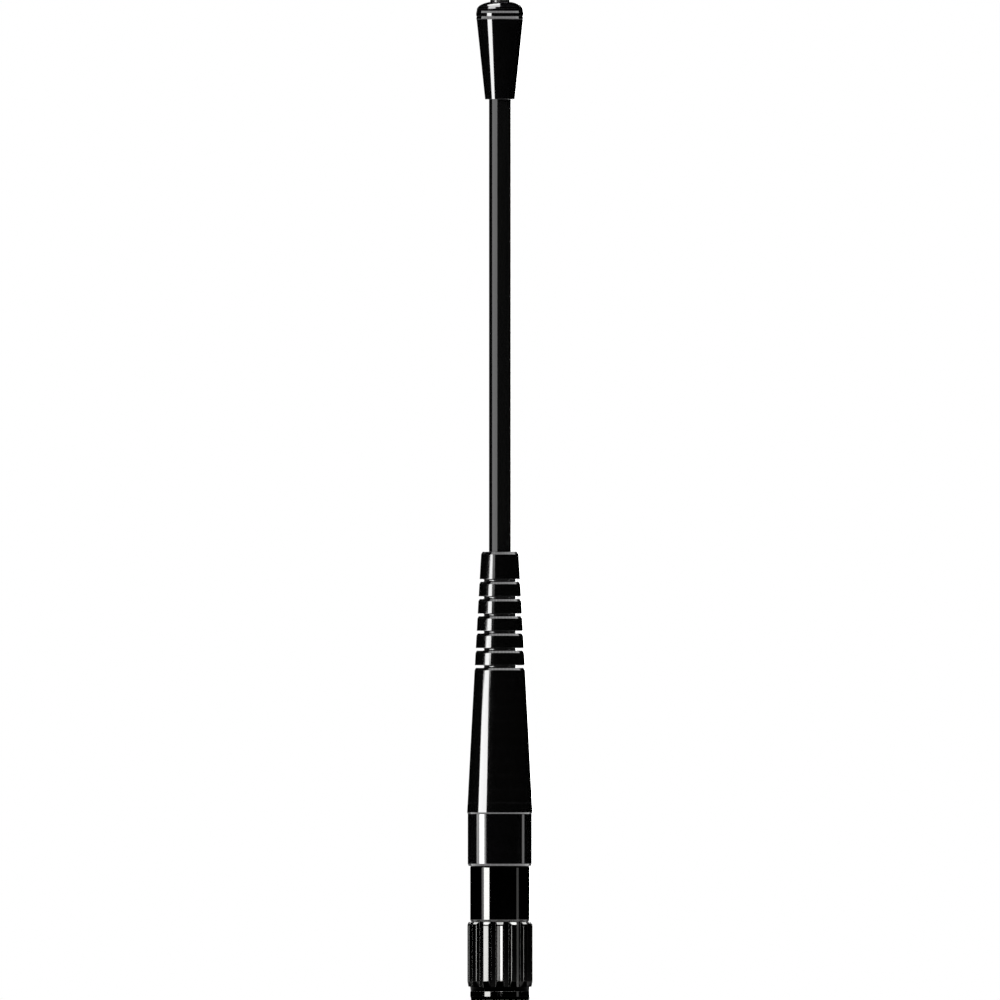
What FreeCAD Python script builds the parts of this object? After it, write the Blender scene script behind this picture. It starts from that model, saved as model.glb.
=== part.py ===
import FreeCAD, Part
import math
import os

from FreeCAD import Vector

# Whip antenna for a portable radio, with a threaded coaxial plug at its foot.
# Units are millimetres. +Z runs along the antenna, from the plug to the tip.
# The origin is where the axis meets the front face of the coupling nut, which faces down.

# Gaps between pieces: seat_gap is radial, round a piece that is pushed or glued into another
seat_gap = 0.04
nut_radial_gap = 0.15
nut_end_gap = 0.1

# Coupling nut: a plain front band, a run-out groove and a ring of ribs up to its rear face
nut_length = 17.65
nut_diameter = 13.4
nut_front_chamfer = 0.7
nut_front_chamfer_depth = 0.16
nut_band_length = 2.0
nut_groove_length = 1.05
nut_groove_depth = 0.12
rib_count = 14
rib_diameter = 14.8
rib_width = 1.3
rib_crown = 0.22
rib_root_depth = 0.4
rib_flank_angle = 10.0
rib_ledge = 0.1
rib_lower_bevel = 0.22
rib_lower_bevel_length = 0.45
rib_upper_bevel = 0.3
rib_upper_bevel_length = 0.57
rear_chamfer = 0.25

# Coupling thread, drawn at its minor diameter, and the wider bore behind it
thread_minor_diameter = 10.3
thread_major_diameter = 11.11
thread_length = 6.1
thread_lead_in = 0.6
mouth_margin = 0.5

# Slotted outer contact, set back from the nut's front face
contact_setback = 2.2
contact_diameter = 8.1
contact_bore = 6.5
contact_tip_chamfer = 0.25
contact_slot_count = 4
contact_slot_width = 0.4
contact_slot_length = 4.4
contact_land_diameter = 8.7
contact_seat_depth = 2.4

# Face seal round the outer contact
gasket_setback = 7.5
gasket_thickness = 1.2
gasket_width = 1.05

# Front and rear insulators, with the pin's collar held between them
insulator_setback = 1.0
insulator_socket_diameter = 4.85
insulator_socket_depth = 6.3
insulator_web = 5.5
rear_insulator_length = 4.6
rear_flange_diameter = 8.7
rear_flange_thickness = 1.4

# Centre contact
pin_setback = 0.4
pin_diameter = 1.35
pin_tip_length = 0.6
shank_diameter = 2.2
shank_gap = 0.05
collar_diameter = 3.5
collar_thickness = 1.4
bucket_reach = 3.6
bucket_bore = 1.2
bucket_depth = 3.0

# Connector body
body_front_diameter = 11.1
barrel_diameter = 13.4
barrel_length = 12.5
barrel_chamfer = 0.16
barrel_chamfer_length = 0.42
spigot_diameter = 11.5
spigot_length = 6.5
spigot_chamfer = 0.4
body_cavity_diameter = 9.0

# Split ring between the body and the nut
ring_setback = 12.1
ring_thickness = 0.8
ring_body_groove_diameter = 10.0
ring_nut_groove_diameter = 12.3
ring_side_gap = 0.1
ring_slit_width = 1.6

# Coil housing: the collar that shows, a small step inside the boot's base, and the tube in the boot
housing_collar_step = 0.15
housing_collar_length = 11.7
housing_lower_chamfer = 0.2
housing_lower_chamfer_length = 0.5
housing_upper_chamfer = 0.1
housing_socket_clearance = 0.3
housing_tube_diameter = 10.2
housing_tube_bore = 7.4
housing_web = 1.6
housing_lead_hole = 2.4

# Coil former and winding
former_diameter = 4.6
former_flange_thickness = 1.2
former_lower_gap = 1.6
former_upper_gap = 3.0
former_notch_margin = 0.25
wire_diameter = 0.8
coil_turns = 5
coil_chords_per_turn = 8
coil_end_margin = 1.5

# Ferrule between the coil and the whip's core
ferrule_flange_diameter = 9.0
ferrule_flange_thickness = 1.2
ferrule_tail_diameter = 3.8
ferrule_tail_length = 2.6
ferrule_boss_diameter = 4.4
ferrule_boss_length = 5.0
ferrule_web = 1.0

# Boot: a slightly convex taper with annular grooves near its top
boot_base_diameter = 14.8
boot_top_diameter = 8.42
boot_length = 59.0
boot_bulge = 0.06
boot_base_chamfer = 0.14
boot_base_chamfer_length = 0.36
boot_top_chamfer = 0.3
boot_top_chamfer_length = 0.6
boot_cavity_gap = 0.1
boot_wall_over_cavity = 3.0
boot_groove_count = 6
boot_groove_pitch = 3.875
boot_groove_from_top = 6.45
boot_groove_height = 0.6
boot_groove_floor_diameter = 7.15
boot_groove_bevel = 0.26
boot_groove_bevel_length = 0.52

# Whip
sheath_diameter = 4.93
core_diameter = 2.0
exposed_sheath_length = 101.8

# Tip cap: a straight taper with a lip, a bead between two bevelled lines, a domed shoulder and a button
cap_bottom_diameter = 6.7
cap_bottom_chamfer = 0.12
cap_taper_diameter = 10.52
cap_taper_length = 18.25
cap_bore_depth = 11.2
cap_bead_diameter = 10.72
cap_lip_height = 0.1
cap_groove_depth = 0.16
cap_groove_slope_length = 0.35
cap_groove_width = 0.04
cap_bead_height = 0.9
cap_bead_bevel = 0.12
cap_bead_bevel_length = 0.26
cap_dome_height = 2.0
cap_dome_power = 1.7
cap_dome_chords = 6
cap_button_diameter = 4.4
cap_button_height = 0.55
cap_button_chamfer = 0.2

# Ferrule on the core's upper end
tip_ferrule_diameter = 3.5
tip_ferrule_length = 5.2
tip_ferrule_wall = 0.9

# Heights worked out from the lengths above, from the mouth upwards
body_front = gasket_setback + gasket_thickness
contact_rear = body_front + contact_seat_depth
insulator_front = contact_setback + insulator_setback
socket_floor = insulator_front + insulator_socket_depth
insulator_joint = socket_floor + insulator_web
rear_insulator_top = insulator_joint + rear_insulator_length
rear_flange_floor = rear_insulator_top - rear_flange_thickness
barrel_base = nut_length + nut_end_gap
barrel_top = barrel_base + barrel_length
spigot_top = barrel_top + spigot_length
socket_top = spigot_top + housing_socket_clearance
collar_top = barrel_top + housing_collar_length
web_top = socket_top + housing_web
boot_top = collar_top + boot_length
lowest_groove = boot_top - boot_groove_from_top - (boot_groove_count - 1) * boot_groove_pitch
cavity_top = lowest_groove - boot_groove_height / 2 - boot_wall_over_cavity
ferrule_shoulder = cavity_top - boot_cavity_gap
tube_top = ferrule_shoulder - ferrule_flange_thickness
tail_base = tube_top - ferrule_tail_length
boss_top = ferrule_shoulder + ferrule_boss_length
cap_base = boot_top + exposed_sheath_length
sheath_top = cap_base + cap_bore_depth
cap_taper_top = cap_base + cap_taper_length
cap_lip_top = cap_taper_top + cap_lip_height
cap_groove_base = cap_lip_top + cap_groove_slope_length
cap_bead_base = cap_groove_base + cap_groove_width
cap_bead_top = cap_bead_base + cap_bead_height
cap_dome_base = cap_bead_top + cap_bead_bevel_length
cap_dome_top = cap_dome_base + cap_dome_height

# Former between the web and the ferrule's tail, and the winding on it
former_base = web_top + former_lower_gap
former_top = tail_base - former_upper_gap
chord_share = math.cos(math.pi / coil_chords_per_turn)
winding_radius = ((former_diameter + wire_diameter) / 2 + seat_gap) / chord_share
winding_base = former_base + former_flange_thickness + coil_end_margin
winding_top = former_top - former_flange_thickness - coil_end_margin

# Radii of the fits that two or more pieces share
nut_bore_radius = body_front_diameter / 2 + nut_radial_gap
insulator_radius = contact_bore / 2 - seat_gap
sheath_seat_radius = sheath_diameter / 2 + seat_gap
core_seat_radius = core_diameter / 2 + seat_gap

AXIS_POINT = Vector(0, 0, 0)
UP = Vector(0, 0, 1)


def lathe(*outline):
    """Turns a closed outline of (radius, height) points about Z."""
    corners = [Vector(radius, 0, height) for radius, height in outline]
    face = Part.Face(Part.makePolygon(corners + corners[:1]))
    return face.revolve(AXIS_POINT, UP, 360)


def rod(radius, base, top):
    """Cylinder about the Z axis."""
    return Part.makeCylinder(radius, top - base, Vector(0, 0, base))


def spun_copies(shape, count, first_angle=0.0):
    """Copies of a shape, evenly spaced round the Z axis."""
    copies = []
    for index in range(count):
        copy = shape.copy()
        copy.rotate(AXIS_POINT, UP, first_angle + index * 360.0 / count)
        copies.append(copy)
    return copies


def rib_blank():
    """One rib's cross-section, drafted and crowned, drawn towards -Y and raised to the rib's length."""
    root = nut_diameter / 2 - rib_root_depth
    crest = rib_diameter / 2
    shoulder = crest - rib_crown
    half_top = rib_width / 2
    half_root = half_top + (shoulder - root) * math.tan(math.radians(rib_flank_angle))
    base = nut_band_length + nut_groove_length + rib_ledge
    left_root = Vector(-half_root, -root, base)
    left_top = Vector(-half_top, -shoulder, base)
    right_top = Vector(half_top, -shoulder, base)
    right_root = Vector(half_root, -root, base)
    outline = Part.Wire([
        Part.LineSegment(left_root, left_top).toShape(),
        Part.Arc(left_top, Vector(0, -crest, base), right_top).toShape(),
        Part.LineSegment(right_top, right_root).toShape(),
        Part.LineSegment(right_root, left_root).toShape(),
    ])
    return Part.Face(outline).extrude(Vector(0, 0, nut_length - base))


def coupling_nut():
    """Ribbed nut: turned blank, crowned ribs with bevelled ends, thread bore, rear bore and ring groove."""
    outer = nut_diameter / 2
    groove_floor = outer - nut_groove_depth
    groove_middle = nut_band_length + nut_groove_length / 2
    groove_top = nut_band_length + nut_groove_length
    rib_base = groove_top + rib_ledge
    crest = rib_diameter / 2
    blank = lathe(
        (0, 0),
        (outer - nut_front_chamfer_depth, 0),
        (outer, nut_front_chamfer),
        (outer, nut_band_length),
        (groove_floor, groove_middle),
        (outer, groove_top),
        (outer, nut_length - rear_chamfer),
        (outer - rear_chamfer, nut_length),
        (0, nut_length),
    )
    envelope = lathe(
        (0, rib_base),
        (crest - rib_lower_bevel, rib_base),
        (crest + rib_lower_bevel, rib_base + 2 * rib_lower_bevel_length),
        (crest + rib_upper_bevel, nut_length - 2 * rib_upper_bevel_length),
        (crest - rib_upper_bevel, nut_length),
        (0, nut_length),
    )
    ribs = Part.makeCompound(spun_copies(rib_blank(), rib_count))
    blank = blank.fuse(ribs.common(envelope)).removeSplitter()

    thread_radius = thread_minor_diameter / 2
    mouth_radius = (thread_major_diameter + mouth_margin) / 2
    thread_end = thread_lead_in + thread_length
    groove_radius = ring_nut_groove_diameter / 2
    ring_base = ring_setback - ring_side_gap
    ring_top = ring_setback + ring_thickness + ring_side_gap
    bore = lathe(
        (0, 0),
        (mouth_radius, 0),
        (thread_radius, thread_lead_in),
        (thread_radius, thread_end),
        (nut_bore_radius, thread_end + nut_bore_radius - thread_radius),
        (nut_bore_radius, ring_base),
        (groove_radius, ring_base),
        (groove_radius, ring_top),
        (nut_bore_radius, ring_top),
        (nut_bore_radius, nut_length),
        (0, nut_length),
    )
    return blank.cut(bore)


def snap_ring():
    """Flat split ring, half in the body's groove and half in the nut's."""
    inner = ring_body_groove_diameter / 2 + seat_gap
    outer = ring_nut_groove_diameter / 2 - nut_radial_gap
    ring = rod(outer, ring_setback, ring_setback + ring_thickness)
    ring = ring.cut(rod(inner, ring_setback, ring_setback + ring_thickness))
    slit_corner = Vector(0, -ring_slit_width / 2, ring_setback)
    slit = Part.makeBox(outer, ring_slit_width, ring_thickness, slit_corner)
    return ring.cut(slit)


def outer_contact():
    """Spring sleeve with slots through its free end and a thicker land that the gasket and the body hold."""
    outer = contact_diameter / 2
    inner = contact_bore / 2
    land = contact_land_diameter / 2
    sleeve = lathe(
        (inner, contact_setback),
        (outer - contact_tip_chamfer, contact_setback),
        (outer, contact_setback + contact_tip_chamfer),
        (outer, gasket_setback),
        (land, gasket_setback),
        (land, contact_rear),
        (inner, contact_rear),
    )
    slot = Part.makeBox(
        outer,
        contact_slot_width,
        contact_slot_length,
        Vector(0, -contact_slot_width / 2, contact_setback),
    )
    half_step = 180.0 / contact_slot_count
    return sleeve.cut(Part.makeCompound(spun_copies(slot, contact_slot_count, half_step)))


def gasket():
    """Flat face seal against the body's shoulder."""
    inner = contact_land_diameter / 2 + seat_gap
    outer = inner + gasket_width
    return rod(outer, gasket_setback, body_front).cut(rod(inner, gasket_setback, body_front))


def front_insulator():
    """Dielectric with a deep socket in front and a recess for the pin's collar behind."""
    socket = insulator_socket_diameter / 2
    shank = shank_diameter / 2 + shank_gap
    collar = collar_diameter / 2 + shank_gap
    recess = insulator_joint - collar_thickness
    return lathe(
        (socket, insulator_front),
        (insulator_radius, insulator_front),
        (insulator_radius, insulator_joint),
        (collar, insulator_joint),
        (collar, recess),
        (shank, recess),
        (shank, socket_floor),
        (socket, socket_floor),
    )


def rear_insulator():
    """Flanged bush that closes the collar's recess."""
    shank = shank_diameter / 2 + shank_gap
    flange = rear_flange_diameter / 2
    return lathe(
        (shank, insulator_joint),
        (insulator_radius, insulator_joint),
        (insulator_radius, rear_flange_floor),
        (flange, rear_flange_floor),
        (flange, rear_insulator_top),
        (shank, rear_insulator_top),
    )


def centre_contact():
    """Pin with a blunt tapered tip, a captive collar and a solder bucket at its rear."""
    pin = pin_diameter / 2
    shank = shank_diameter / 2
    collar = collar_diameter / 2
    tip = contact_setback + pin_setback
    recess = insulator_joint - collar_thickness
    rear = rear_insulator_top + bucket_reach
    bucket_floor = rear - bucket_depth
    return lathe(
        (0, tip),
        (pin / 3, tip),
        (pin, tip + pin_tip_length),
        (pin, socket_floor),
        (shank, socket_floor),
        (shank, recess),
        (collar, recess),
        (collar, insulator_joint),
        (shank, insulator_joint),
        (shank, rear),
        (bucket_bore / 2, rear),
        (bucket_bore / 2, bucket_floor),
        (0, bucket_floor),
    )


def connector_body():
    """Turned body: front section with the ring groove, barrel, spigot and the stepped bore."""
    front = body_front_diameter / 2
    ring_floor = ring_body_groove_diameter / 2
    barrel = barrel_diameter / 2
    spigot = spigot_diameter / 2
    cavity = body_cavity_diameter / 2
    ring_base = ring_setback - ring_side_gap
    ring_top = ring_setback + ring_thickness + ring_side_gap
    contact_seat = contact_land_diameter / 2 + seat_gap
    insulator_seat = contact_bore / 2
    return lathe(
        (contact_seat, body_front),
        (front, body_front),
        (front, ring_base),
        (ring_floor, ring_base),
        (ring_floor, ring_top),
        (front, ring_top),
        (front, barrel_base),
        (barrel - barrel_chamfer, barrel_base),
        (barrel, barrel_base + barrel_chamfer_length),
        (barrel, barrel_top),
        (spigot, barrel_top),
        (spigot, spigot_top - spigot_chamfer),
        (spigot - spigot_chamfer, spigot_top),
        (cavity, spigot_top),
        (cavity, rear_flange_floor),
        (insulator_seat, rear_flange_floor),
        (insulator_seat, contact_rear),
        (contact_seat, contact_rear),
    )


def coil_housing():
    """Moulding with a socket for the spigot, the collar that shows and the tube inside the boot."""
    collar = boot_base_diameter / 2 - housing_collar_step
    socket = spigot_diameter / 2 + seat_gap
    tube = housing_tube_diameter / 2
    bore = housing_tube_bore / 2
    hole = housing_lead_hole / 2
    return lathe(
        (socket, barrel_top),
        (collar - housing_lower_chamfer, barrel_top),
        (collar, barrel_top + housing_lower_chamfer_length),
        (collar, collar_top - housing_upper_chamfer),
        (collar - housing_upper_chamfer, collar_top),
        (tube, collar_top),
        (tube, tube_top),
        (bore, tube_top),
        (bore, web_top),
        (hole, web_top),
        (hole, socket_top),
        (socket, socket_top),
    )


def coil_former():
    """Rod with two flanges, each notched where the wire passes."""
    core = former_diameter / 2
    flange = housing_tube_bore / 2 - seat_gap
    lower_top = former_base + former_flange_thickness
    upper_base = former_top - former_flange_thickness
    body = lathe(
        (0, former_base),
        (flange, former_base),
        (flange, lower_top),
        (core, lower_top),
        (core, upper_base),
        (flange, upper_base),
        (flange, former_top),
        (0, former_top),
    )
    notch_width = wire_diameter + 2 * former_notch_margin
    inner_edge = winding_radius - notch_width / 2
    notch = Part.makeBox(
        flange - inner_edge + wire_diameter,
        notch_width,
        former_top - former_base,
        Vector(inner_edge, -notch_width / 2, former_base),
    )
    winding_space = rod(flange, lower_top, upper_base)
    return body.cut(notch.cut(winding_space))


def loading_coil():
    """Winding with a lead at each end, run out through the notches and back to the axis.

    The wire follows one open line: the lower lead, the helix as even chords, then the upper lead.
    """
    wire = wire_diameter / 2
    lower_turn = former_base - former_lower_gap / 2
    upper_turn = former_top + former_upper_gap / 2
    lower_end = rear_insulator_top + bucket_reach - bucket_depth + wire
    upper_end = tube_top - ferrule_web
    chord_count = coil_turns * coil_chords_per_turn
    rise = (winding_top - winding_base) / chord_count
    route = [
        Vector(0, 0, lower_end),
        Vector(0, 0, lower_turn),
        Vector(winding_radius, 0, lower_turn),
    ]
    for index in range(chord_count + 1):
        angle = 2 * math.pi * index / coil_chords_per_turn
        across = Vector(winding_radius * math.cos(angle), winding_radius * math.sin(angle), 0)
        route.append(across + Vector(0, 0, winding_base + index * rise))
    route += [
        Vector(winding_radius, 0, upper_turn),
        Vector(0, 0, upper_turn),
        Vector(0, 0, upper_end),
    ]
    section = Part.Wire(Part.makeCircle(wire, route[0], UP))
    square_corners = 1
    return Part.makePolygon(route).makePipeShell([section], True, False, square_corners)


def core_ferrule():
    """Ferrule on top of the housing's tube: a tail for the coil's lead and a boss for the whip's core."""
    tail = ferrule_tail_diameter / 2
    flange = ferrule_flange_diameter / 2
    boss = ferrule_boss_diameter / 2
    lead = wire_diameter / 2 + seat_gap
    lead_top = tube_top - ferrule_web + wire_diameter
    core_floor = lead_top + ferrule_web
    return lathe(
        (lead, tail_base),
        (tail, tail_base),
        (tail, tube_top),
        (flange, tube_top),
        (flange, ferrule_shoulder),
        (boss, ferrule_shoulder),
        (boss, boss_top),
        (core_seat_radius, boss_top),
        (core_seat_radius, core_floor),
        (0, core_floor),
        (0, lead_top),
        (lead, lead_top),
    )


def whip_core():
    """Spring steel core, from the lower ferrule to the tip's."""
    core_floor = tube_top + wire_diameter
    return rod(core_diameter / 2, core_floor, sheath_top + tip_ferrule_length - tip_ferrule_wall)


def whip_sheath():
    """Plastic sheath on the core, from the lower ferrule's boss to the tip ferrule."""
    return lathe(
        (core_seat_radius, boss_top),
        (sheath_diameter / 2, boss_top),
        (sheath_diameter / 2, sheath_top),
        (core_seat_radius, sheath_top),
    )


def boot():
    """Tapered moulding with ring grooves, hollow for the housing's tube, the ferrule and the sheath."""
    base = boot_base_diameter / 2
    top = boot_top_diameter / 2
    middle = collar_top + boot_length / 2
    tube = housing_tube_diameter / 2 + boot_cavity_gap
    body = lathe(
        (tube, collar_top),
        (base - boot_base_chamfer, collar_top),
        (base, collar_top + boot_base_chamfer_length),
        (boot_radius_at(middle), middle),
        (top, boot_top - boot_top_chamfer_length),
        (top - boot_top_chamfer, boot_top),
        (sheath_seat_radius, boot_top),
        (sheath_seat_radius, cavity_top),
        (tube, cavity_top),
    )
    floor = boot_groove_floor_diameter / 2
    cutters = []
    for index in range(boot_groove_count):
        middle_height = lowest_groove + index * boot_groove_pitch
        upper = middle_height + boot_groove_height / 2
        lower = middle_height - boot_groove_height / 2
        rim = boot_radius_at(lower)
        cutters.append(lathe(
            (floor, upper),
            (floor, lower),
            (rim - boot_groove_bevel, lower),
            (rim + boot_groove_bevel, lower - 2 * boot_groove_bevel_length),
            (base, lower - 2 * boot_groove_bevel_length),
            (base, upper),
        ))
    return body.cut(Part.makeCompound(cutters))


def boot_radius_at(height):
    """Radius of the boot's side at a height, from the chord and the small bulge over it."""
    share = (height - collar_top) / boot_length
    chord = boot_base_diameter / 2 + (boot_top_diameter - boot_base_diameter) / 2 * share
    return chord + boot_bulge * 4 * share * (1 - share)


def cap_shoulder(bead):
    """Points of the cap's domed shoulder, from the bead to the button.

    They lie on the curve (across / width)^p + (up / height)^p = 1, between an ellipse (2) and a cone (1).
    """
    button = cap_button_diameter / 2
    width = bead - cap_bead_bevel - button
    points = []
    for index in range(cap_dome_chords + 1):
        angle = math.pi / 2 * index / cap_dome_chords
        across = width * max(math.cos(angle), 0) ** (2 / cap_dome_power)
        up = cap_dome_height * math.sin(angle) ** (2 / cap_dome_power)
        points.append((button + across, cap_dome_base + up))
    return points


def tip_cap():
    """Flared cap: taper, lip, bead, domed shoulder and button, with the sheath's and the ferrule's bores."""
    bottom = cap_bottom_diameter / 2
    bead = cap_bead_diameter / 2
    groove = bead - cap_groove_depth
    button = cap_button_diameter / 2
    button_top = cap_dome_top + cap_button_height
    ferrule_seat = tip_ferrule_diameter / 2 + seat_gap
    ferrule_top = sheath_top + tip_ferrule_length
    return lathe(
        (sheath_seat_radius, cap_base),
        (bottom - cap_bottom_chamfer, cap_base),
        (bottom, cap_base + cap_bottom_chamfer),
        (cap_taper_diameter / 2, cap_taper_top),
        (bead, cap_lip_top),
        (groove, cap_groove_base),
        (groove, cap_bead_base),
        (bead, cap_bead_base),
        (bead, cap_bead_top),
        *cap_shoulder(bead),
        (button, button_top - cap_button_chamfer),
        (button - cap_button_chamfer, button_top),
        (0, button_top),
        (0, ferrule_top),
        (ferrule_seat, ferrule_top),
        (ferrule_seat, sheath_top),
        (sheath_seat_radius, sheath_top),
    )


def tip_ferrule():
    """Closed ferrule on the core's upper end."""
    outer = tip_ferrule_diameter / 2
    top = sheath_top + tip_ferrule_length
    floor = top - tip_ferrule_wall
    return lathe(
        (core_seat_radius, sheath_top),
        (outer, sheath_top),
        (outer, top),
        (0, top),
        (0, floor),
        (core_seat_radius, floor),
    )


PIECES = {
    "coupling_nut": coupling_nut,
    "snap_ring": snap_ring,
    "outer_contact": outer_contact,
    "gasket": gasket,
    "front_insulator": front_insulator,
    "rear_insulator": rear_insulator,
    "centre_contact": centre_contact,
    "connector_body": connector_body,
    "coil_housing": coil_housing,
    "coil_former": coil_former,
    "loading_coil": loading_coil,
    "core_ferrule": core_ferrule,
    "whip_core": whip_core,
    "whip_sheath": whip_sheath,
    "boot": boot,
    "tip_cap": tip_cap,
    "tip_ferrule": tip_ferrule,
}

os.makedirs("parts", exist_ok=True)
for name, make in PIECES.items():
    shape = make()
    shape.exportStep(os.path.join("parts", name + ".step"))
    print(name, len(shape.Solids), shape.isValid(), round(shape.Volume, 2))
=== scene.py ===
"""Whip antenna with a threaded coaxial plug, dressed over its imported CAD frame.

Shapes are surfaces worked out with numpy in millimetres and put into Blender in metres. +Z runs
from the plug's mouth to the tip, and the photograph looks along +Y. Angles round the axis are
counted from -Y, positive towards +X.
"""

import logging
import math
from dataclasses import dataclass, field
from enum import Enum
from typing import ClassVar

import bpy
import numpy as np
from mathutils import Matrix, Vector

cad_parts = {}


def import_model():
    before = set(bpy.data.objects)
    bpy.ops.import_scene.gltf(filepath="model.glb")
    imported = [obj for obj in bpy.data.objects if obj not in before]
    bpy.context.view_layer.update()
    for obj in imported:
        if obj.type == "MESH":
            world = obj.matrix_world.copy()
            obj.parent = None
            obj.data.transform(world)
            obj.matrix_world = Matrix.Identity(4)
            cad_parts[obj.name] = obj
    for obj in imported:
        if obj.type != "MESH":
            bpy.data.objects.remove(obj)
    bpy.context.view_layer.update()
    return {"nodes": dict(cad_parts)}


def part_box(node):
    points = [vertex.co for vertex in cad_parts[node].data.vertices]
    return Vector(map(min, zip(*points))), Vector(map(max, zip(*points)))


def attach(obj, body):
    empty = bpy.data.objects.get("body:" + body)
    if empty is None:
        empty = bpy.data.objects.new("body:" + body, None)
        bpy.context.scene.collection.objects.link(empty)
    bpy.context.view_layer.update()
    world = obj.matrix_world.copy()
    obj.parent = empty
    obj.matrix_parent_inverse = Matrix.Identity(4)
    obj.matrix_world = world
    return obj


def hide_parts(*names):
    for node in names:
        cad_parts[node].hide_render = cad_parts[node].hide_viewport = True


LOG = logging.getLogger("antenna")
MM = 0.001

# Short names for Blender's types, a pair of numbers, and a corner with its fillet's radius
Tree = bpy.types.NodeTree
Socket = bpy.types.NodeSocket
Thing = bpy.types.Object
Pair = tuple[float, float]
Corner = tuple[float, float, float]


# Helpers for nodes and colours


def linear(hex_colour: str) -> tuple[float, float, float, float]:
    """Turns an sRGB hex colour into linear light.

    By that standard a level up to 0.04045 is divided by 12.92, and a higher one gains 0.055, is
    divided by 1.055 and raised to the power 2.4.

    Args:
        hex_colour: six hex digits after a hash sign.

    Returns:
        Red, green, blue and an alpha of 1.
    """
    levels = np.array([int(hex_colour[i:i + 2], 16) for i in (1, 3, 5)]) / 255
    curve = np.where(levels <= 0.04045, levels / 12.92, ((levels + 0.055) / 1.055) ** 2.4)
    return (*map(float, curve), 1.0)


def add_node(tree: Tree, kind: str, inputs: dict | None = None, **settings: object
             ) -> bpy.types.Node:
    """Adds a node with its settings and links.

    Args:
        tree: node tree that gets the node.
        kind: Blender's name of the node type.
        inputs: a value, or another node's output socket, for each input by name or number.
        settings: properties of the node itself.

    Returns:
        The new node.
    """
    node = tree.nodes.new(kind)
    for key, value in settings.items():
        setattr(node, key, value)
    for key, value in (inputs or {}).items():
        if isinstance(value, Socket):
            tree.links.new(value, node.inputs[key])
        else:
            node.inputs[key].default_value = value
    return node


def noise(tree: Tree, place: Socket, scale: float, detail: float, roughness: float) -> Socket:
    """Fractal noise at a place, about 0.5 on average."""
    inputs = {"Vector": place, "Scale": scale, "Detail": detail, "Roughness": roughness}
    return add_node(tree, "ShaderNodeTexNoise", inputs).outputs["Fac"]


def remap(tree: Tree, value: Socket, source: Pair, target: Pair, **settings: object) -> Socket:
    """Maps a value from one range onto another and clamps it there.

    Args:
        tree: node tree that gets the node.
        value: the value.
        source: the range that it comes from.
        target: the range that it is mapped onto.
        settings: properties of the node itself.

    Returns:
        The mapped value.
    """
    return add_node(tree, "ShaderNodeMapRange", {
        "Value": value, "From Min": source[0], "From Max": source[1],
        "To Min": target[0], "To Max": target[1],
    }, **settings).outputs["Result"]


def combine(tree: Tree, operation: str, first: Socket, second: Socket) -> Socket:
    """Two values joined by a maths node."""
    inputs = {0: first, 1: second}
    return add_node(tree, "ShaderNodeMath", inputs, operation=operation).outputs["Value"]


def blend(tree: Tree, share: Socket, first: object, second: object) -> Socket:
    """Colour between two others, share being the second one's part."""
    inputs = {"Factor": share, "A": first, "B": second}
    return add_node(tree, "ShaderNodeMix", inputs, data_type="RGBA").outputs["Result"]


def fresh_tree(owner: bpy.types.Material | bpy.types.World) -> Tree:
    """Turns on the nodes of a material or world.

    Args:
        owner: the material or world.

    Returns:
        Its node tree, emptied.
    """
    owner.use_nodes = True
    owner.node_tree.nodes.clear()
    return owner.node_tree


# Finishes


# Size of the patches that wear and roughness follow
PATCH_MM = 6.0
# Middle part of the noise that the tone, the wear and the roughness each spread over
TONE_RANGE, WEAR_RANGE, ROUGH_RANGE = (0.35, 0.65), (0.4, 0.6), (0.3, 0.7)
# Share of the wear that even the least rubbed patches show
LEAST_WEAR = 0.4


class Grain(Enum):
    """How a surface was made, as the stretch of its pattern along x, y and z."""

    MOULDED = (1.0, 1.0, 1.0)
    TURNED = (0.02, 0.02, 1.0)
    DRAWN = (1.0, 1.0, 0.02)


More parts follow.
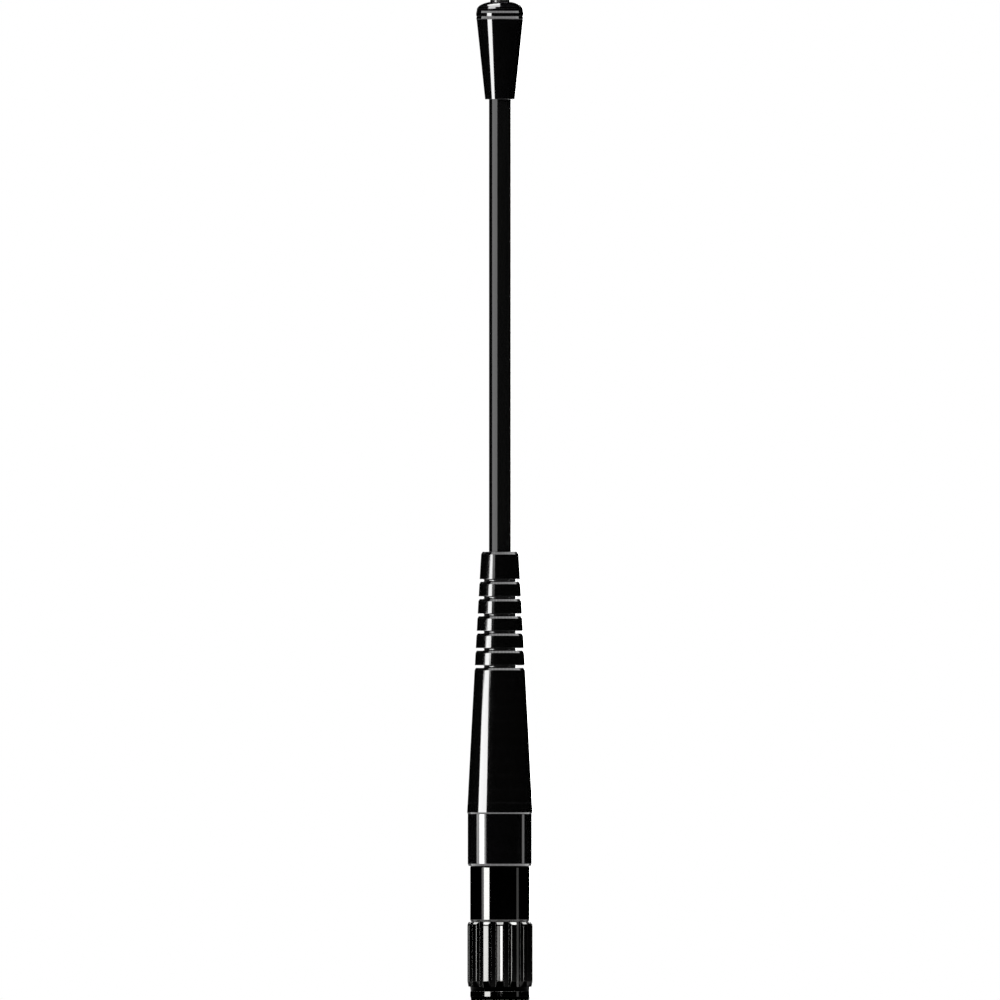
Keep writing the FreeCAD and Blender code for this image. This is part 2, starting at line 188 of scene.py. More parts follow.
@dataclass(frozen=True)
class Finish:
    """One real material and the way its surface was made.

    Colours are sRGB. grain_mm is the size of the surface's own pattern, relief_mm its depth,
    mottling the share of the second colour that it mixes in, spread how far the roughness varies,
    and wear the share of the worn colour along edges.
    """

    name: str
    colour: str
    shade: str
    worn: str
    metallic: float
    roughness: float
    spread: float
    grain: Grain
    grain_mm: float
    relief_mm: float
    mottling: float = 0.5
    wear: float = 0.0
    ior: float = 1.5
    specular: float = 0.5
    coat: float = 0.0
    coat_roughness: float = 0.05

    def material(self) -> bpy.types.Material:
        """Builds the node material, or returns it if it is there already.

        Returns:
            The Blender material of this finish.
        """
        found = bpy.data.materials.get(self.name)
        if found:
            return found
        material = bpy.data.materials.new(self.name)
        tree = fresh_tree(material)
        place = add_node(tree, "ShaderNodeTexCoord").outputs["Object"]
        scale = tuple(stretch / (self.grain_mm * MM) for stretch in self.grain.value)
        fine = add_node(tree, "ShaderNodeMapping", {"Vector": place, "Scale": scale})
        grain = noise(tree, fine.outputs["Vector"], scale=1.0, detail=3.0, roughness=0.6)
        patches = noise(tree, place, scale=1 / (PATCH_MM * MM), detail=4.0, roughness=0.55)
        tone = remap(tree, grain, TONE_RANGE, (0.0, self.mottling))
        body = blend(tree, tone, linear(self.colour), linear(self.shade))
        edge = add_node(tree, "ShaderNodeAttribute", attribute_name="edge").outputs["Fac"]
        rubbed = remap(tree, patches, WEAR_RANGE, (self.wear * LEAST_WEAR, self.wear))
        worn_share = combine(tree, "MULTIPLY", edge, rubbed)
        rough = remap(tree, patches, ROUGH_RANGE,
                      (self.roughness - self.spread, self.roughness + self.spread))
        bump = add_node(tree, "ShaderNodeBump", {
            "Height": grain, "Distance": self.relief_mm * MM, "Strength": 1.0,
        })
        shader = add_node(tree, "ShaderNodeBsdfPrincipled", {
            "Base Color": blend(tree, worn_share, body, linear(self.worn)),
            "Metallic": self.metallic, "Roughness": rough, "IOR": self.ior,
            "Specular IOR Level": self.specular, "Coat Weight": self.coat,
            "Coat Roughness": self.coat_roughness, "Normal": bump.outputs["Normal"],
        })
        add_node(tree, "ShaderNodeOutputMaterial", {"Surface": shader.outputs["BSDF"]})
        return material


# Gloss PVC straight from a polished tool: deep black with crisp, bright reflections
GLOSS_PVC = Finish("gloss_moulded_pvc", "#030303", "#050505", "#1b1b1c", 0.0, 0.08, 0.015,
                   Grain.MOULDED, 0.8, 0.0005, wear=0.4, ior=1.53, specular=0.62, coat=0.5)
# Moulded ABS from a polished tool: as black as the boot, with the tightest reflections
GLOSS_ABS = Finish("gloss_moulded_abs", "#030303", "#050506", "#1c1c1d", 0.0, 0.07, 0.012,
                   Grain.MOULDED, 0.8, 0.0004, wear=0.4, ior=1.54, specular=0.62, coat=0.5)
# Extruded polyamide sheath: even and slightly drawn along its length, a softer grey sheen
EXTRUDED_PA = Finish("extruded_polyamide", "#060606", "#090909", "#141414", 0.0, 0.12, 0.02,
                     Grain.DRAWN, 0.35, 0.0006, ior=1.53, specular=0.62, coat=0.4)
# Black chrome over turned brass: dark mirror with very fine turning lines round the axis
BLACK_CHROME = Finish("black_chrome_on_turned_brass", "#535352", "#4c4c4b", "#7d7d7b", 1.0, 0.055,
                      0.01, Grain.TURNED, 0.12, 0.0001, wear=0.2)
# Nickel plating on the spring sleeve: pale warm grey metal
NICKEL = Finish("nickel_on_spring_bronze", "#b9b2a6", "#a8a196", "#c9c3b8", 1.0, 0.22, 0.05,
                Grain.TURNED, 0.15, 0.0006)
# Gold plating on the pin: yellow metal, bright
GOLD = Finish("gold_on_turned_brass", "#d9a441", "#c8933a", "#e4b65c", 1.0, 0.2, 0.04,
              Grain.TURNED, 0.12, 0.0004)
# Silicone rubber seal: brick red, nearly matt
SILICONE = Finish("moulded_silicone", "#7a2a1e", "#6b2319", "#8a3628", 0.0, 0.55, 0.06,
                  Grain.MOULDED, 0.4, 0.004, ior=1.41)
# Turned PTFE: milky white with faint tool lines
PTFE = Finish("turned_ptfe", "#e6e5e0", "#dddcd6", "#eeeeea", 0.0, 0.42, 0.05,
              Grain.TURNED, 0.2, 0.002, ior=1.35)
# Hard-drawn spring wire with its oxide left on: dull blue-grey metal
SPRING_STEEL = Finish("drawn_spring_steel", "#8a8b8e", "#76777a", "#a1a2a5", 1.0, 0.3, 0.05,
                      Grain.DRAWN, 0.3, 0.001)
# Turned and tinned brass of the ferrules: satin grey-white metal
TINNED = Finish("tin_on_turned_brass", "#a9a8a4", "#96958f", "#bdbcb8", 1.0, 0.3, 0.05,
                Grain.TURNED, 0.2, 0.001)
# Enamelled winding wire: clear amber lacquer over copper
ENAMELLED = Finish("enamelled_copper", "#a4552b", "#8f4722", "#b8683a", 1.0, 0.25, 0.05,
                   Grain.DRAWN, 0.4, 0.001, coat=1.0)
# Glass-filled polyamide of the coil former: natural, matt and slightly fibrous
FILLED_PA = Finish("glass_filled_polyamide", "#cfc6ad", "#c0b69b", "#d9d1bb", 0.0, 0.5, 0.08,
                   Grain.MOULDED, 0.5, 0.003)


# Surfaces


# Most of a side that a fillet, and a fillet with its guard point, may take up
FILLET_SHARE, GUARD_SHARE = 0.42, 0.48


def rounded(corners: np.ndarray, closed: bool, steps: int = 5, guard: float = 0.05
            ) -> tuple[np.ndarray, np.ndarray]:
    """Rounds the corners of an outline.

    At a corner P with unit directions a and b towards its neighbours, t apart, the arc of radius r
    touches both sides at r / tan(t / 2) from P and its centre lies along a + b at r / sin(t / 2).
    The arc is the even blend on a circle of its two touching radii. A guard point past each end of
    the arc keeps smooth shading off the flats.

    Args:
        corners: rows of across, up and fillet radius, in mm.
        closed: whether the last corner joins the first. An open outline keeps its two end points.
        steps: points on each arc.
        guard: how far past the arc the guard points lie, in mm.

    Returns:
        The outline's points, and for each of them 1 on an arc and 0 elsewhere.
    """
    points = corners[:, :2]
    if closed:
        middle, radius = points, corners[:, 2]
        before, after = np.roll(points, 1, axis=0), np.roll(points, -1, axis=0)
    else:
        middle, radius = points[1:-1], corners[1:-1, 2]
        before, after = points[:-2], points[2:]
    back, ahead = before - middle, after - middle
    back_length = np.linalg.norm(back, axis=1)
    ahead_length = np.linalg.norm(ahead, axis=1)
    a, b = back / back_length[:, None], ahead / ahead_length[:, None]
    angle = np.arccos(np.clip((a * b).sum(axis=1), -1, 1))
    room = np.minimum(back_length, ahead_length)
    touch = np.minimum(radius / np.tan(angle / 2), FILLET_SHARE * room)
    fitted = touch * np.tan(angle / 2)
    bisector = (a + b) / np.linalg.norm(a + b, axis=1)[:, None]
    centre = middle + bisector * (fitted / np.sin(angle / 2))[:, None]
    first, last = (middle + side * touch[:, None] - centre for side in (a, b))
    sweep = (math.pi - angle)[:, None, None]
    share = np.linspace(0, 1, steps)[None, :, None]
    arc = np.sin((1 - share) * sweep) * first[:, None] + np.sin(share * sweep) * last[:, None]
    arc = arc / np.sin(sweep) + centre[:, None]
    reach = np.minimum(touch + guard, GUARD_SHARE * room)[:, None]
    guards = ((middle + side * reach)[:, None] for side in (a, b))
    whole = np.concatenate([next(guards), arc, next(guards)], axis=1)
    mask = np.zeros(whole.shape[:2])
    mask[:, 1:-1] = 1.0
    outline, mask = whole.reshape(-1, 2), mask.ravel()
    if not closed:
        outline = np.concatenate([points[:1], outline, points[-1:]])
        mask = np.concatenate([[0.0], mask, [0.0]])
    return outline, mask


def grid_quads(rows: int, columns: int, rows_closed: bool) -> np.ndarray:
    """Quads of a grid whose points are numbered row by row, each row a ring.

    Args:
        rows: number of rows.
        columns: number of points in a row.
        rows_closed: whether the last row joins the first.

    Returns:
        Four point numbers for each quad.
    """
    row = np.arange(rows if rows_closed else rows - 1)[:, None]
    column = np.arange(columns)[None, :]
    next_row, next_column = (row + 1) % rows, (column + 1) % columns
    return quads(row * columns + column, row * columns + next_column,
                 next_row * columns + next_column, next_row * columns + column)


def quads(*corners: np.ndarray) -> np.ndarray:
    """Rows of four point numbers from the four corners' arrays."""
    return np.stack(np.broadcast_arrays(*corners), axis=-1).reshape(-1, 4)


def ring_angles(count: int) -> np.ndarray:
    """Even angles round the axis, from 0."""
    return np.arange(count) * 2 * math.pi / count


def around(radius: np.ndarray, angle: np.ndarray, height: np.ndarray) -> np.ndarray:
    """Points at a radius, an angle from -Y and a height: x = r sin a, y = -r cos a, z = h."""
    parts = np.broadcast_arrays(radius * np.sin(angle), -radius * np.cos(angle), height)
    return np.stack(parts, axis=-1)


def make_object(name: str, points: np.ndarray, faces: list[np.ndarray],
                edge: np.ndarray | None = None) -> Thing:
    """Puts points and faces into a smooth mesh object at the origin, with its faces outwards.

    Args:
        name: name of the object and its mesh.
        points: point places in mm.
        faces: arrays of point numbers, one for each face size. Where the volume that they enclose
            comes out negative, they are turned over.
        edge: for each point 1 on a rounded edge and 0 elsewhere.

    Returns:
        The new object, linked to the scene.
    """
    points = points.reshape(-1, 3)
    volume = sum(
        np.einsum("ij,ij->i", points[face[:, 0]],
                  np.cross(points[face[:, k]], points[face[:, k + 1]])).sum()
        for face in faces for k in range(1, face.shape[1] - 1)
    )
    outwards = [face[:, ::-1] if volume < 0 else face for face in faces]
    mesh = bpy.data.meshes.new(name)
    rows = [row for face in outwards for row in face.tolist()]
    mesh.from_pydata((points * MM).tolist(), [], rows)
    mesh.polygons.foreach_set("use_smooth", np.ones(len(mesh.polygons), bool))
    if edge is not None:
        attribute = mesh.attributes.new("edge", "FLOAT", "POINT")
        attribute.data.foreach_set("value", edge.astype(np.float32).ravel())
    mesh.update()
    made = bpy.data.objects.new(name, mesh)
    bpy.context.scene.collection.objects.link(made)
    return made


def turned(name: str, corners: list[Corner], closed: bool, segments: int) -> Thing:
    """Turns an outline with rounded corners about Z.

    Each point of the outline becomes a ring. An open outline starts and ends on the axis, where
    one point and a fan of triangles close it.

    Args:
        name: name of the object.
        corners: radius, height and fillet of each corner, in mm.
        closed: whether the outline is a loop round a bore.
        segments: points in each ring.

    Returns:
        The new object.
    """
    outline, mask = rounded(np.array(corners, float), closed)
    rings = outline if closed else outline[1:-1]
    ring_mask = mask if closed else mask[1:-1]
    points = around(rings[:, :1], ring_angles(segments)[None, :], rings[:, 1:]).reshape(-1, 3)
    edge = np.repeat(ring_mask, segments)
    faces = [grid_quads(len(rings), segments, closed)]
    if not closed:
        ends = np.array([[0, 0, outline[0, 1]], [0, 0, outline[-1, 1]]])
        here = np.arange(segments)
        there = (here + 1) % segments
        offset = (len(rings) - 1) * segments
        first_pole = np.full(segments, len(points))
        faces.append(np.stack([first_pole, there, here], axis=-1))
        faces.append(np.stack([first_pole + 1, here + offset, there + offset], axis=-1))
        points = np.concatenate([points, ends])
        edge = np.concatenate([edge, [0.0, 0.0]])
    return make_object(name, points, faces, edge)


def dress(piece: Thing, node: str, body: str, finish: Finish) -> Thing:
    """Gives a piece its material and body, and lets it stand for its CAD node.

    Args:
        piece: the piece.
        node: CAD node that it replaces.
        body: CAD body that it moves with.
        finish: its finish.

    Returns:
        The piece.
    """
    piece.data.materials.append(finish.material())
    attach(piece, body)
    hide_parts(node)
    LOG.info("%s: %d faces, %s, on %s", piece.name, len(piece.data.polygons), finish.name, body)
    return piece


def bevel(radius: float, height: float, cut: Pair, fillets: Pair) -> list[Corner]:
    """Corners of a bevelled edge: one in by the cut's first size, one along by its second."""
    return [(radius - cut[0], height, fillets[0]), (radius, height + cut[1], fillets[1])]


def base_of(node: str) -> float:
    """Height of a CAD node's lowest point, in mm."""
    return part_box(node)[0].z / MM


def top_of(node: str) -> float:
    """Height of a CAD node's highest point, in mm."""
    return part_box(node)[1].z / MM


# Sub-assemblies


class Piece:
    """One visible piece, which moves with a CAD body and stands for a CAD node."""

    name: ClassVar[str]
    node: ClassVar[str]
    body: ClassVar[str] = "antenna"
    slot: ClassVar[str]
    finish: ClassVar[Finish]

    def shape(self) -> Thing:
        """The piece's mesh object, not dressed yet."""
        raise NotImplementedError

    def build(self) -> Thing:
        """Makes the piece and dresses it."""
        return dress(self.shape(), self.node, self.body, self.finish)


class TurnedPiece(Piece):
    """A piece that is turned about Z as a whole. A form's own name is its radius, in mm."""

    closed: ClassVar[bool] = True
    segments: ClassVar[int] = 160

    def corners(self, base: float, top: float) -> list[Corner]:
        """The piece's outline.

        Args:
            base: height of the CAD node's lowest point.
            top: height of its highest point.

        Returns:
            Radius, height and fillet of each corner.
        """
        raise NotImplementedError

    def shape(self) -> Thing:
        """The outline, turned."""
        corners = self.corners(base_of(self.node), top_of(self.node))
        return turned(self.name, corners, self.closed, self.segments)


@dataclass
class TipCap(TurnedPiece):
    """Flared cap: taper, bead between two fine lines, domed shoulder and button."""

    name, node, slot, finish = "flared_tip_cap", "tip_cap", "cap_plastic", GLOSS_ABS
    closed = False

    foot: float = 3.35
    taper: float = 5.26
    taper_length: float = 18.0
    slope_length: float = 0.6
    groove_from_base: float = 18.7
    groove_depth: float = 0.16
    groove_lips: Pair = (0.03, 0.06)
    bead: float = 5.36
    bead_top: float = 19.9
    bead_bevel: Pair = (0.12, -0.45)
    dome: float = 5.2
    dome_base: float = 20.4
    dome_height: float = 1.5
    dome_power: float = 1.55
    dome_angles: Pair = (82.0, 25.0)
    dome_corners: int = 14
    dome_fillet: float = 0.6
    button: float = 2.2
    button_sink: float = 0.02
    bore: float = 2.505
    bore_depth: float = 11.2
    ferrule: float = 1.79
    ferrule_depth: float = 16.4

    def shoulder(self, base: float) -> list[Corner]:
        """Corners of the dome, on the curve (across / width)^p + (up / height)^p = 1.

        Args:
            base: height where the dome starts.

        Returns:
            Radius, height and fillet of each corner, from the button down to the rim.
        """
        angle = np.radians(np.linspace(*self.dome_angles, self.dome_corners))
        across = (self.dome - self.button) * np.cos(angle) ** (2 / self.dome_power)
        up = self.dome_height * np.sin(angle) ** (2 / self.dome_power)
        return [(float(self.button + u), float(base + v), self.dome_fillet)
                for u, v in zip(across, up)]

    def corners(self, base: float, top: float) -> list[Corner]:
        """The outline, from the button's top round to the floor of the ferrule's bore.

        Args:
            base: height of the cap's foot.
            top: height of the button's top.

        Returns:
            Radius, height and fillet of each corner.
        """
        dome = base + self.dome_base
        bore_end, end = base + self.bore_depth, base + self.ferrule_depth
        groove, groove_floor = base + self.groove_from_base, self.bead - self.groove_depth
        low_lip, high_lip = (groove + lip for lip in self.groove_lips)
        return [
            (0.0, top, 0.0), (self.button, top, 0.2),
            (self.button, dome + self.dome_height - self.button_sink, 0.1),
            *self.shoulder(dome),
            (self.dome, dome, 0.05),
            *bevel(self.bead, base + self.bead_top, self.bead_bevel, (0.02, 0.05)),
            (self.bead, high_lip, 0.02), (groove_floor, low_lip, 0.02),
            (groove_floor, groove, 0.02), (self.bead, groove - self.slope_length, 0.05),
            (self.taper, base + self.taper_length, 0.05),
            (self.foot, base, 0.12), (self.bore, base, 0.08),
            (self.bore, bore_end, 0.05), (self.ferrule, bore_end, 0.05),
            (self.ferrule, end, 0.05), (0.0, end, 0.0),
        ]


@dataclass
class Whip(TurnedPiece):
    """Extruded sheath between the boot and the cap."""

    name, node, slot = "extruded_whip_sheath", "whip_sheath", "sheath_plastic"
    finish = EXTRUDED_PA
    segments = 128

    radius: float = 2.465
    bore: float = 1.04

    def corners(self, base: float, top: float) -> list[Corner]:
        """The sheath's wall."""
        return [(self.bore, base, 0.02), (self.radius, base, 0.05),
                (self.radius, top, 0.05), (self.bore, top, 0.02)]


@dataclass
class Boot(TurnedPiece):
    """Tapered boot with ring grooves, each with a bevel on its lower lip."""

    name, node, slot, finish = "tapered_boot", "boot", "boot_rubber", GLOSS_PVC

    base_radius: float = 7.4
    base_bevel: Pair = (0.14, 0.36)
    top_radius: float = 4.21
    top_bevel: Pair = (0.3, 0.6)
    bulge: float = 0.06
    side_start: float = 2.5
    side_points: int = 10
    side_fillet: float = 20.0
    groove_count: int = 6
    groove_pitch: float = 3.875
    groove_from_top: float = 6.45
    groove_height: float = 0.6
    groove_floor: float = 3.575
    lip_bevel: Pair = (0.26, 0.52)
    cavity: float = 5.2
    cavity_cover: float = 3.0
    neck: float = 2.505

    def side_at(self, share: float) -> float:
        """Radius at a share s of the length: the straight taper plus 4 s (1 - s) of the bulge."""
        taper = self.base_radius + (self.top_radius - self.base_radius) * share
        return taper + self.bulge * 4 * share * (1 - share)

    def corners(self, base: float, top: float) -> list[Corner]:
        """The outline, from the foot up the side, over the grooves and down the bore.

        Args:
            base: height of the boot's foot.
            top: height of its top.

        Returns:
            Radius, height and fillet of each corner.
        """
        def side(height: float) -> float:
            """Radius of the side at a height."""
            return self.side_at((height - base) / (top - base))

        half_groove = self.groove_height / 2
        lowest = top - self.groove_from_top - (self.groove_count - 1) * self.groove_pitch
        cavity_top = lowest - half_groove - self.cavity_cover
        shoulder = top - self.top_bevel[1]
        corners = [
            (self.cavity, base, 0.1),
            *bevel(side(base), base, self.base_bevel, (0.03, 0.06)),
        ]
        heights = np.linspace(base + self.side_start, lowest - self.cavity_cover, self.side_points)
        corners += [(side(height), float(height), self.side_fillet) for height in heights]
        for index in range(self.groove_count):
            middle = lowest + index * self.groove_pitch
            lower, upper = middle - half_groove, middle + half_groove
            foot = lower - self.lip_bevel[1]
            corners += [
                (side(foot), foot, 0.1), (side(lower) - self.lip_bevel[0], lower, 0.05),
                (self.groove_floor, lower, 0.24), (self.groove_floor, upper, 0.24),
                (side(upper), upper, 0.05),
            ]
        return corners + [
            (side(shoulder), shoulder, 0.1), (self.top_radius - self.top_bevel[0], top, 0.05),
            (self.neck, top, 0.05), (self.neck, cavity_top, 0.05), (self.cavity, cavity_top, 0.3),
        ]


@dataclass
class CoilHousing(TurnedPiece):
    """Moulding whose collar shows between the barrel and the boot."""

    name, node, slot = "coil_housing_collar", "coil_housing", "housing_plastic"
    finish = GLOSS_ABS

    collar: float = 7.25
    collar_length: float = 11.7
    foot_bevel: Pair = (0.2, 0.5)
    socket: float = 5.79
    socket_depth: float = 6.8
    tube: float = 5.1
    bore: float = 3.7
    hole: float = 1.2
    web: float = 1.6

    def corners(self, base: float, top: float) -> list[Corner]:
        """The outline, from the foot up the collar and the tube and down the bores.

        Args:
            base: height of the collar's foot.
            top: height of the tube's top.

        Returns:
            Radius, height and fillet of each corner.
        """
        collar_top, socket_top = base + self.collar_length, base + self.socket_depth
        web_top = socket_top + self.web
        return [
            (self.socket, base, 0.1), *bevel(self.collar, base, self.foot_bevel, (0.03, 0.08)),
            (self.collar, collar_top, 0.03), (self.tube, collar_top, 0.1), (self.tube, top, 0.1),
            (self.bore, top, 0.1), (self.bore, web_top, 0.1), (self.hole, web_top, 0.1),
            (self.hole, socket_top, 0.1), (self.socket, socket_top, 0.1),
        ]


@dataclass
class ConnectorBody(TurnedPiece):
    """Turned body of the plug, of which the barrel shows."""

    name, node, slot = "turned_connector_body", "connector_body", "body_metal"
    finish = BLACK_CHROME

    front: float = 5.55
    ring_floor: float = 5.0
    ring_base: float = 12.0
    ring_top: float = 13.0
    neck: float = 6.52
    neck_base: float = 17.67
    neck_gap: float = 0.02
    barrel: float = 6.7
    barrel_base: float = 17.75
    barrel_top: float = 30.25
    foot_bevel: Pair = (0.16, 0.42)
    top_bevel: Pair = (0.1, -0.4)
    spigot: float = 5.75
    spigot_bevel: Pair = (0.4, -0.4)
    cavity: float = 4.5
    cavity_base: float = 18.2
    seat: float = 3.25
    contact: float = 4.39
    contact_rear: float = 11.1

    def corners(self, base: float, top: float) -> list[Corner]:
        """The outline, from the front up the outside and down the stepped bore.

        Args:
            base: height of the front face.
            top: height of the spigot's top.

        Returns:
            Radius, height and fillet of each corner.
        """
        return [
            (self.contact, base, 0.05), (self.front, base, 0.1),
            (self.front, self.ring_base, 0.04), (self.ring_floor, self.ring_base, 0.04),
            (self.ring_floor, self.ring_top, 0.04), (self.front, self.ring_top, 0.04),
            (self.front, self.neck_base, 0.04), (self.neck, self.neck_base, 0.03),
            (self.neck, self.barrel_base - self.neck_gap, 0.02),
            *bevel(self.barrel, self.barrel_base, self.foot_bevel, (0.02, 0.08)),
            *bevel(self.barrel, self.barrel_top, self.top_bevel, (0.03, 0.05))[::-1],
            (self.spigot, self.barrel_top, 0.04),
            *bevel(self.spigot, top, self.spigot_bevel, (0.05, 0.1))[::-1],
            (self.cavity, top, 0.05), (self.cavity, self.cavity_base, 0.05),
            (self.seat, self.cavity_base, 0.05), (self.seat, self.contact_rear, 0.05),
            (self.contact, self.contact_rear, 0.05),
        ]


@dataclass
class CouplingNut(Piece):
    """Ribbed coupling nut with its thread. Sizes in mm, a form's own name is its radius.

    One period of the cross-section, half a valley each side of a rib, is drawn once in a flat frame
    and repeated round the axis. Every row of the grid then takes the smaller of that section's
    radius and the row's own radius, so the turned ends cut the ribs' ends off as cones. Wear shows
    on edges that stand worn_height or more out from the root.
    """

    name, node, slot, finish = "ribbed_coupling_nut", "coupling_nut", "nut_metal", BLACK_CHROME
    body = "nut"

    rib_count: int = 14
    rib: float = 7.4
    root: float = 6.7
    rib_half_width: float = 0.65
    flank_draft: float = 25.0
    rib_fillet: float = 0.12
    root_fillet: float = 0.02
    worn_height: float = 0.3
    valley_points: int = 5
    crown_points: int = 5
    mouth: float = 5.805
    mouth_bevel: float = 0.18
    line_depth: float = 0.1
    line_heights: Pair = (0.78, 0.84)
    band_top: float = 2.0
    band_lean: float = 0.018
    band_ledge: float = 0.01
    rib_base: float = 3.15
    rib_gap: float = 0.1
    foot_bevel: Pair = (0.22, 1.15)
    end_bevel: Pair = (0.3, -0.57)
    rear_slope: float = 0.03
    bore: float = 5.7
    ring: float = 6.15
    ring_base: float = 12.0
    ring_top: float = 13.0
    cone_length: float = 0.5
    minor: float = 5.15
    major: float = 5.555
    pitch: float = 0.907
    lead_in: float = 0.6
    thread_length: float = 6.1
    turn_steps: int = 8
    crest_share: float = 0.15
    flank_share: float = 0.7
    run_in: float = 0.2
    run_in_start: float = 0.3

    def section(self) -> tuple[np.ndarray, np.ndarray, np.ndarray]:
        """Angle, radius and edge mask of every point round the nut.

        In the rib's flat frame the corners are the root and the top of each flank. Between them run
        the valley and the crown, both arcs about the nut's axis.

        Returns:
            Angles from -Y in rising order, radii in mm, and 1 on the ribs' rounded edges.
        """
        half_period = math.pi / self.rib_count
        half_root = (self.rib_half_width
                     + (self.rib - self.root) * math.tan(math.radians(self.flank_draft)))
        flank, mask = rounded(np.array([
            (radius * math.sin(angle), radius * math.cos(angle), fillet)
            for radius, angle, fillet in (
                (self.root, -half_period, 0.0),
                (self.root, -math.asin(half_root / self.root), self.root_fillet),
                (self.rib, -math.asin(self.rib_half_width / self.rib), self.rib_fillet),
                (self.rib, 0.0, 0.0))
        ]), closed=False, steps=4, guard=0.03)
        flank, mask = flank[1:-1], mask[1:-1]
        angle, radius = np.arctan2(flank[:, 0], flank[:, 1]), np.hypot(flank[:, 0], flank[:, 1])
        valley = np.linspace(-half_period, angle[0], self.valley_points)[:-1]
        crown = np.linspace(angle[-1], 0, self.crown_points)[1:]
        half = np.concatenate([
            [valley, np.full(len(valley), self.root), np.zeros(len(valley))],
            [angle, radius, mask * (radius > self.root + self.worn_height)],
            [crown, np.full(len(crown), self.rib), np.zeros(len(crown))],
        ], axis=1)
        mirrored = half[:, -2:0:-1] * np.array([[-1], [1], [1]])
        angle, radius, edge = np.concatenate([half, mirrored], axis=1)
        turns = np.arange(self.rib_count)[:, None] * 2 * half_period
        return ((angle[None, :] + turns).ravel(), np.tile(radius, self.rib_count),
                np.tile(edge, self.rib_count))

    def outline(self, length: float, thread_top: float) -> tuple[np.ndarray, np.ndarray]:
        """Outline from the mouth over the outside, as if there were no valleys, to the thread.

        Args:
            length: height of the rear face.
            thread_top: height of the thread's end.

        Returns:
            Radius and height of each row, and 1 on the rounded edges.
        """
        line_base, line_top = self.line_heights
        outside, edges = rounded(np.array([
            (self.mouth, 0.0, 0.0),
            (self.root - self.mouth_bevel, 0.0, 0.06),
            (self.root - self.line_depth, line_base, 0.02), (self.root, line_top, 0.02),
            (self.root - self.band_lean, self.band_top, 0.004),
            (self.root - self.line_depth, self.band_top + self.band_ledge, 0.004),
            (self.root, self.rib_base - self.rib_gap, 0.02),
            *bevel(self.rib, self.rib_base, self.foot_bevel, (0.03, 0.3)),
            *bevel(self.rib, length - self.rear_slope, self.end_bevel, (0.04, 1.1))[::-1],
            (self.root, length, 0.04), (self.bore, length, 0.0),
        ]), closed=False, steps=4, guard=0.04)
        bore, bore_edges = rounded(np.array([
            (self.bore, length, 0.06),
            (self.bore, self.ring_top, 0.03), (self.ring, self.ring_top, 0.03),
            (self.ring, self.ring_base, 0.03), (self.bore, self.ring_base, 0.03),
            (self.bore, thread_top + self.cone_length, 0.05), (self.minor, thread_top, 0.0),
        ]), closed=False, steps=3, guard=0.04)
        return np.concatenate([outside, bore[1:-1]]), np.concatenate([edges, bore_edges[1:-1]])

    def thread(self, angle: np.ndarray, thread_top: float) -> np.ndarray:
        """Points of the thread, row by row.

        The turns counted along the helix are h / pitch - angle / 2 pi. Their triangle wave, clipped
        flat at the crest and the root, sets the depth, which fades out at both ends.

        Args:
            angle: angles of the columns.
            thread_top: height of the thread's end.

        Returns:
            Point places in mm.
        """
        rows = int(self.thread_length / self.pitch * self.turn_steps)
        height = np.linspace(thread_top, self.lead_in, rows)[:, None]
        turn = height / self.pitch - angle / (2 * math.pi)
        wave = np.abs(2 * (turn - np.floor(turn)) - 1)
        depth = np.clip((wave - self.crest_share) / self.flank_share, 0, 1)
        fade = (np.clip((thread_top - height) / self.pitch, 0, 1)
                * np.clip((height - self.lead_in) / self.run_in + self.run_in_start, 0, 1))
        return around(self.minor + (self.major - self.minor) * depth * fade, angle, height)

    def shape(self) -> Thing:
        """Joins the outside, the bore and the thread into one closed grid.

        Returns:
            The nut.
        """
        angle, radius, edge = self.section()
        thread_top = self.lead_in + self.thread_length
        outline, mask = self.outline(top_of(self.node), thread_top)
        thread = self.thread(angle, thread_top)
        rows = around(np.minimum(outline[:, :1], radius), angle, outline[:, 1:])
        on_ribs = outline[:, :1] > self.root + self.worn_height
        edges = np.maximum(mask[:, None], edge * on_ribs)
        points = np.concatenate([rows, thread])
        faces = [grid_quads(len(points), len(angle), rows_closed=True)]
        return make_object(self.name, points, faces,
                           np.concatenate([edges, np.zeros(thread.shape[:2])]))


